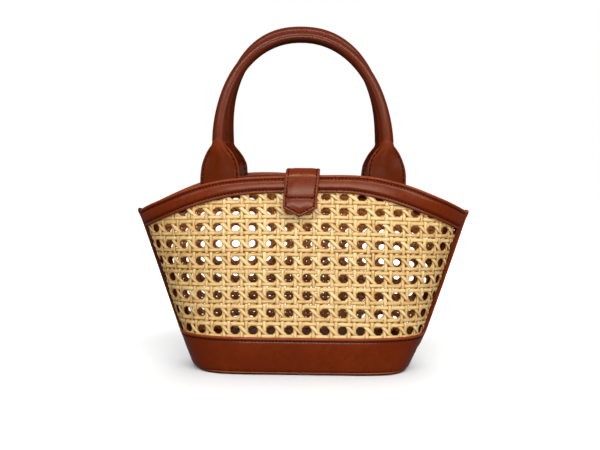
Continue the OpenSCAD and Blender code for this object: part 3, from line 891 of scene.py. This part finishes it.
def tab_depth(x, h, front=True):
    """Half thickness of the tab at x from its middle line, h above the bend."""
    hw = tab_half(h)
    e = np.maximum(hw - np.abs(x), 0)
    r = 1.05
    flange = r * np.sqrt(np.maximum(1 - np.maximum(1 - e / r, 0) ** 2, 0))
    flange = flange + 0.14 * bell(e, 0.9, 0.45) - 0.3 * bell(e, 1.9, 0.42)
    flange = flange * (1 - smooth(19.6, 21.8, h))
    b = bulge(h) * np.maximum(1 - (x / bulge_r(h)) ** 2, 0) ** bulge_p(h)
    # painted highlight on the rolled edge of the tab and painted shade in its stitch groove
    tone = 0.5 * (1 - smooth(0.3, 1.5, e)) - 0.6 * bell(e, 1.9, 0.5)
    tone = tone * (1 - smooth(17.5, 20.5, h))
    return (flange ** 4 + b ** 4) ** 0.25, tone


def handle(side, lean, off, tilt, leg_x, tab_x, square):
    lean = math.radians(lean)
    k = 56
    th = 2 * np.pi * np.arange(k) / k
    hs = np.concatenate([[-14.6, -14.2, -13], np.arange(-11.5, 16, 0.9), np.arange(16, 22.9, 0.45), [23.3]])

    def sway(h):
        """The handle leans a little to one side as it rises."""
        return off * smooth(-6, 12, h) + tilt * np.maximum(h, 0)

    def plane(x, h, n):
        """Point of the handle's own plane: x across, h up from the bend, n outwards."""
        return np.stack([x + sway(h), -hinge_y + h * math.sin(lean) - n * math.cos(lean), hinge_z + h * math.cos(lean) + n * math.sin(lean)], -1)

    def leg_point(x, h, n):
        a = plane(x, h, n)
        z = hinge_z + h
        q, nn = wall_at(x / half_w(z), z + 0 * x, np.full_like(x, -2.45))
        b = q + nn * n[..., None]
        w = smooth(-6, 8, h)
        return (1 - w)[..., None] * b + w[..., None] * a

    def twist(h):
        """The tabs keep the turn of the wall that they are sewn to."""
        return 0.16 * smooth(-6, 8, h) * (1 - smooth(13, 23, h))

    def leg(sx, hs):
        rows, tones = [], []
        for h in hs:
            hw = tab_half(h)
            xx = hw * np.cos(th)
            hh = np.full(k, h)
            d, tone = tab_depth(xx, hh)
            nn = np.where(np.sin(th) >= 0, 1, -1) * d
            nn[np.abs(np.sin(th)) < 1e-9] = 0
            closing = math.sqrt(max(0.05, 1 - max(0.0, (-13.2 - h) / 1.4) ** 2))
            c = tab_x + (leg_x - tab_x) * float(smooth(4.5, 20.5, h)) + (0.4 * float(1 - smooth(0, 16, h)) if sx < 0 else 0)
            rows.append(leg_point(sx * c + xx, hh, nn * closing - sx * xx * twist(h)))
            tones.append(tone)
        return rows, tones

    left, lt = leg(-1, hs)
    right, rt = leg(1, hs)
    a = np.linspace(np.pi, 0, 141)
    e = 2 / square
    x = leg_x * np.sign(np.cos(a)) * np.abs(np.cos(a)) ** e
    h = arch_h + (handle_len - arch_h) * np.maximum(np.sin(a), 0) ** e
    tx, thh = np.gradient(x), np.gradient(h)
    ln = np.hypot(tx, thh)
    tx, thh = tx / ln, thh / ln
    arch = []
    for i in range(len(a)):
        # across the tube, pointing outwards on the left leg's left side
        r = tube_r + 0.5 * float(1 - smooth(arch_h, 58, h[i]))
        cx = np.cos(th) * r
        nn = np.sin(th) * r
        ex, eh = thh[i], -tx[i]
        arch.append(plane(x[i] + cx * ex, h[i] + cx * eh, nn))
    # the right leg runs downwards, so its rings are turned over to match
    flip = (k // 2 - np.arange(k)) % k
    down = [r[flip] for r in right[::-1]]
    pts = np.array(left + arch + down)
    up = [0.55 * float(smooth(8, 24, v)) - 0.25 for v in hs]        # painted light: paler up the rolled tube than on the tabs
    tones = np.array([t + v for t, v in zip(lt, up)] + [np.full(k, -0.1)] * len(arch) + [t[flip] + v for t, v in zip(rt[::-1], up[::-1])])
    if side > 0:
        pts = pts * np.array([1, -1, 1])
        # painted shade: the rear handle is darker low down, between the two handles
        tones = tones - 0.4 * (1 - smooth(165, 215, pts[..., 2]))
    name = "front_handle_leather" if side < 0 else "rear_handle_leather"
    mid = pts.mean(axis=1)[:, None, 2]          # painted shade: the underside of the tube along the top of the arch is darkened
    tones = tones - 0.9 * smooth(0.1, 0.95, (mid - pts[..., 2]) / 4.8) * smooth(195, 225, mid)
    ob = make(name, loft(pts, tones), rolled, sharp=75)

    # filler cord inside the rolled part
    ck = 16
    ca = 2 * np.pi * np.arange(ck) / ck
    cr = 3.1

    def cord_leg(sx):
        out = []
        for hc, r in ((13.0, 1.2), (15.0, 1.8), (17.5, 2.4), (20.0, 2.9), (22.5, cr)):
            c = tab_x + (leg_x - tab_x) * float(smooth(4.5, 20.5, hc))
            out.append(plane(sx * c + r * np.cos(ca), np.full(ck, hc), r * np.sin(ca)))
        return out

    mid = [plane(x[i] + cr * np.cos(ca) * thh[i], h[i] - cr * np.cos(ca) * tx[i], cr * np.sin(ca)) for i in range(len(a))]
    turn = (ck // 2 - np.arange(ck)) % ck
    pts = np.array(cord_leg(-1) + mid + [r[turn] for r in cord_leg(1)[::-1]])
    if side > 0:
        pts = pts * np.array([1, -1, 1])
    core = make(name.replace("leather", "filler"), loft(pts), cord)

    # stitches run up one edge of each tab, inset from it, on both faces
    sew = Geo()
    for sx in (-1, 1):
        for e in (-1, 1):
            for face in (1, -1):
                hh = np.linspace(-9, 17.6, 60)
                xx = e * (tab_half(hh) - 1.9)
                d, _ = tab_depth(xx, hh)
                c = tab_x + (leg_x - tab_x) * smooth(4.5, 20.5, hh) + (0.4 * (1 - smooth(0, 16, hh)) if sx < 0 else 0)
                p = leg_point(sx * c + xx, hh, face * (d + 0.05) - sx * xx * twist(hh))
                q = leg_point(sx * c + xx, hh, face * (d + 1.05) - sx * xx * twist(hh))
                if side > 0:
                    p, q = p * np.array([1, -1, 1]), q * np.array([1, -1, 1])
                stitches(sew, p, unit(q - p), pitch=3.6, length=2.6, r=0.5, lift=0.2)
    so = make(name.replace("leather", "stitching"), sew, thread)
    return ob, so, core


for side, nm, lean, off, tilt, lx, tx, sq in ((-1, "front", 18.0, -0.27, -0.027, 60.7, 59.6, 2.11), (1, "rear", 4.0, 0.46, -0.035, 59.5, 58.4, 2.28)):
    ob, so, core = handle(side, lean, off, tilt, lx, tx, sq)
    for o in (ob, so):
        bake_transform(o)
    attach(core, nm + "_handle")
    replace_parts(core, nm + "_handle_core")
    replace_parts(ob, nm + "_handle_sleeve", nm + "_handle_roots")

# ---------------------------------------------------------------------------
# closure strap
# ---------------------------------------------------------------------------
strap_w, strap_point, strap_tip_z = 24.0, 6.2, 115.2
cross_z = 128.4


def strap_line():
    """Side profile [y, z] of the strap's middle layer, from its rear end up,
    over the mouth and down the front."""
    z = np.linspace(124.7, 141.0, 10)
    pts = [(half_d(v) + 3.1, v) for v in z]
    pts += [(32.75, 143.0), (32.45, 145.0), (31.3, 146.75), (29.2, 147.6), (26.0, 147.85), (20, 147.9), (10, 147.9), (0, 147.9), (-10, 147.9), (-20, 147.9)]
    c = (-(29 + 5.6) + 7, 147.9 - 7)
    pts += [(c[0] - 7 * math.sin(a), c[1] + 7 * math.cos(a)) for a in np.radians(np.linspace(0, 84, 9))]
    z = np.linspace(c[1] - 1.5, strap_tip_z, 24)
    puff = 0.3 * np.exp(-((z - 135.0) / 4.5) ** 2) + 0.35 * np.exp(-((z - 122.0) / 4.0) ** 2) - 0.35 * np.exp(-((z - cross_z) / 1.3) ** 2)
    pts += [(-(half_d(v) + 5.6 + p), v) for v, p in zip(z, puff)]
    p = np.array(pts)
    # smooth once so that the bends are round
    q = p.copy()
    q[1:-1] = 0.25 * p[:-2] + 0.5 * p[1:-1] + 0.25 * p[2:]
    return resample(q, 500)


line, strap_len = strap_line()
line_s = np.linspace(0, strap_len, len(line))
line_t = unit(np.gradient(line, axis=0))
line_n = np.stack([line_t[:, 1], -line_t[:, 0]], -1)      # up on top, forwards on the drop
front = line[:, 0] < -20
cross_l = float(np.interp(-cross_z, -line[front][:, 1], line_s[front]))
bend_l = float(line_s[front][0])


def strap_at(x, l, o):
    y = np.interp(l, line_s, line[:, 0])
    z = np.interp(l, line_s, line[:, 1])
    ny = np.interp(l, line_s, line_n[:, 0])
    nz = np.interp(l, line_s, line_n[:, 1])
    shift = -2.5 * smooth(bend_l, strap_len, l)
    return np.stack([x + shift, y + ny * o, z + nz * o], -1), np.stack([0 * ny, ny, nz], -1)


def strap_edge(x, l):
    """Distance from the outline of the strap."""
    tip = ((strap_len - l) * strap_w / 2 - np.abs(x) * strap_point) / math.hypot(strap_w / 2, strap_point)
    return np.minimum(np.minimum(strap_w / 2 - np.abs(x), tip), l)


def strap_grid(inset, rows, cols):
    xi = np.linspace(-1, 1, cols)
    xi = np.sign(xi) * (1 - (1 - np.abs(xi)) ** 1.7)
    r = np.linspace(0, 1, rows)
    r = np.where(r < 0.5, 0.5 * (1 - (1 - 2 * r) ** 1.25), 1 - 0.5 * (1 - 2 * (1 - r)) ** 1.25)
    l = inset + (strap_len - 1.15 * inset - inset) * r
    chev = smooth(strap_len - 34, strap_len - 4, l)
    x = np.broadcast_to(xi * (strap_w / 2 - inset), (rows, cols))
    ll = l[:, None] - np.abs(xi)[None, :] * strap_point * (1 - inset / 12) * chev[:, None]
    return x, ll


def shell(x, l, top, bottom, tone):
    """Closed sheet between two offsets over a grid of strap points."""
    r, c = x.shape
    a, _ = strap_at(x, l, top)
    b, _ = strap_at(x, l, bottom)
    g = Geo()
    gq = grid(r, c)
    ring = np.concatenate([np.arange(c), np.arange(1, r) * c + c - 1, (r - 1) * c + np.arange(c - 2, -1, -1), np.arange(r - 2, 0, -1) * c])
    nxt = np.roll(ring, -1)
    side = np.stack([ring, nxt, nxt + r * c, ring + r * c], -1)
    g.add(np.concatenate([a.reshape(-1, 3), b.reshape(-1, 3)]), np.concatenate([gq, gq[:, ::-1] + r * c, side]),
          tone=np.concatenate([tone.ravel(), np.full(r * c, -0.3)]))
    return g


def strap():
    x, l = strap_grid(0.0, 190, 49)
    d = np.maximum(strap_edge(x, l), 0)
    top = 0.35 + 1.05 * np.sqrt(np.maximum(1 - np.maximum(1 - d / 1.0, 0) ** 2, 0))
    top = top + 0.15 * bell(d, 0.95, 0.45) - 0.34 * bell(d, 2.0, 0.42) + 0.35 * smooth(2.4, 6.5, d)
    # painted highlight on the rolled edge and painted shade in the stitch groove and the cross-stitch groove
    tone = 0.55 * (1 - smooth(0.4, 1.5, d)) - 0.6 * bell(d, 2.0, 0.5)
    c = bell(l, cross_l, 0.55) * (d > 1.9)
    top = top - 0.45 * c
    tone = tone - 0.6 * c
    ob = make("closure_strap_leather", shell(x, l, top, np.full_like(x, 0.02), tone), saddle, sharp=75)

    x2, l2 = strap_grid(0.55, 150, 25)
    d2 = np.maximum(strap_edge(x2, l2) - 0.5, 0)
    lo = -1.2 * np.sqrt(np.maximum(1 - np.maximum(1 - d2 / 0.6, 0) ** 2, 0)) - 0.1 + 0.25 * bell(d2, 1.5, 0.4)
    # painted highlight along the lining's edge and painted shade in its stitch groove
    li = make("strap_lining_leather", shell(x2, l2, np.full_like(x2, -0.05), lo, 0.4 * (1 - smooth(0.2, 1.2, d2)) - bell(d2, 1.5, 0.4)), inner, sharp=75)

    sew = Geo()
    e = 2.0
    tip_l = strap_len - e * math.hypot(strap_w / 2, strap_point) / (strap_w / 2)
    sh = tip_l - (strap_w / 2 - e) * strap_point / (strap_w / 2)
    path = [(-strap_w / 2 + e, v) for v in np.linspace(e, sh, 160)]
    path += [(-(strap_w / 2 - e) * (1 - v), sh + (tip_l - sh) * v) for v in np.linspace(0.05, 1, 20)]
    path += [((strap_w / 2 - e) * v, sh + (tip_l - sh) * (1 - v)) for v in np.linspace(0.05, 1, 20)]
    path += [(strap_w / 2 - e, v) for v in np.linspace(sh - 0.5, e, 160)]
    path += [(v, e) for v in np.linspace(strap_w / 2 - e - 0.3, -strap_w / 2 + e, 30)]
    path = np.array(path)
    p, n = strap_at(path[:, 0], path[:, 1], np.full(len(path), 0.98))
    stitches(sew, p, n, pitch=2.5, length=1.7, r=0.42, lift=0.2)
    xs = np.linspace(-strap_w / 2 + 2.6, strap_w / 2 - 2.6, 30)
    p, n = strap_at(xs, np.full_like(xs, cross_l), np.full_like(xs, 1.22))
    stitches(sew, p, n, pitch=2.5, length=1.7, r=0.42, lift=0.2)
    so = make("strap_stitching", sew, thread)
    return ob, li, so


st, li, so = strap()
for o in (st, li, so):
    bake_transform(o)
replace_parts(st, "closure_strap", "strap_anchor")
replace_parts(li, "strap_lining")
st, li, so

bt = make("bag_stitching", bag_thread, thread)
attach(bt, "bag"), bt

# ---------------------------------------------------------------------------
# CAD pieces that keep their own shape
# ---------------------------------------------------------------------------
for node, mat in (("bottom_panel", under), ("base_board", board), ("strap_snap", steel), ("band_snap", steel)):
    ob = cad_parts[node]
    if len(ob.material_slots) == 0:
        ob.data.materials.append(mat)
    for s in ob.material_slots:
        s.material = mat


# ---------------------------------------------------------------------------
# floor, backdrop and light
# ---------------------------------------------------------------------------
def studio():
    r = np.array([0.02, 0.1, 0.2, 0.3, 0.45, 0.7, 1.1, 1.8, 3.0, 5.0])
    a = np.radians(np.arange(0, 360, 5))
    v = np.stack([r[:, None] * np.cos(a), r[:, None] * np.sin(a), 0 * r[:, None] * a - 0.0001], -1)
    g = Geo()
    g.add(v / MM, np.concatenate([grid(len(r), len(a), wrap_c=True), cap(0, len(a))]))
    ob = make("studio_floor", g, floor_material())
    ob.visible_diffuse = ob.visible_glossy = False
    w = bpy.data.worlds.new("studio")
    scene.world = w
    w.use_nodes = True
    w.node_tree.nodes["Background"].inputs["Color"].default_value = (1, 1, 1, 1)
    w.node_tree.nodes["Background"].inputs["Strength"].default_value = 0.16
    # plain white surround far away; it is looked at, and lights nothing
    lat = np.radians(np.concatenate([np.arange(-30, 85, 5), [88.0]]))
    v = 6.0 * np.stack([np.cos(lat)[:, None] * np.cos(a), np.cos(lat)[:, None] * np.sin(a), np.sin(lat)[:, None] + 0 * a], -1)
    g = Geo()
    g.add(v / MM, np.concatenate([grid(len(lat), len(a), wrap_c=True), cap((len(lat) - 1) * len(a), len(a))]))
    m = Nodes("studio_surround")
    m.bsdf.inputs["Base Color"].default_value = (0, 0, 0, 1)
    m.bsdf.inputs["Specular IOR Level"].default_value = 0.0
    m.bsdf.inputs["Emission Color"].default_value = (1, 1, 1, 1)
    m.bsdf.inputs["Emission Strength"].default_value = 1.0
    m.mat.cycles.emission_sampling = "NONE"
    ob = make("studio_surround", g, m.mat)
    ob.visible_diffuse = ob.visible_glossy = ob.visible_transmission = ob.visible_shadow = False

    def area(name, at, to, sx, sy, power, glossy=True):
        d = bpy.data.lights.new(name, "AREA")
        d.shape = "RECTANGLE"
        d.size, d.size_y, d.energy = sx, sy, power
        o = bpy.data.objects.new(name, d)
        o.visible_glossy = glossy
        o.location = at
        o.rotation_euler = (Vector(to) - Vector(at)).to_track_quat("-Z", "Y").to_euler()
        scene.collection.objects.link(o)

    area("front_softbox", (0.02, -1.25, 0.35), (0, 0, 0.13), 0.8, 0.3, 11)
    area("left_softbox", (-0.92, -0.77, 0.85), (0, 0, 0.12), 0.6, 0.8, 5)
    area("right_softbox", (0.92, -0.77, 0.85), (0, 0, 0.12), 0.6, 0.8, 12)
    area("top_softbox", (0.0, -0.9, 1.15), (0, 0, 0.15), 1.3, 0.2, 16)
    area("rear_softbox", (0.3, 1.3, 0.7), (0, 0, 0.12), 1.6, 1.0, 10, glossy=False)
    area("overhead_softbox", (0.0, 0.3, 1.35), (0, 0.1, 0.0), 1.4, 0.9, 13, glossy=False)


studio()
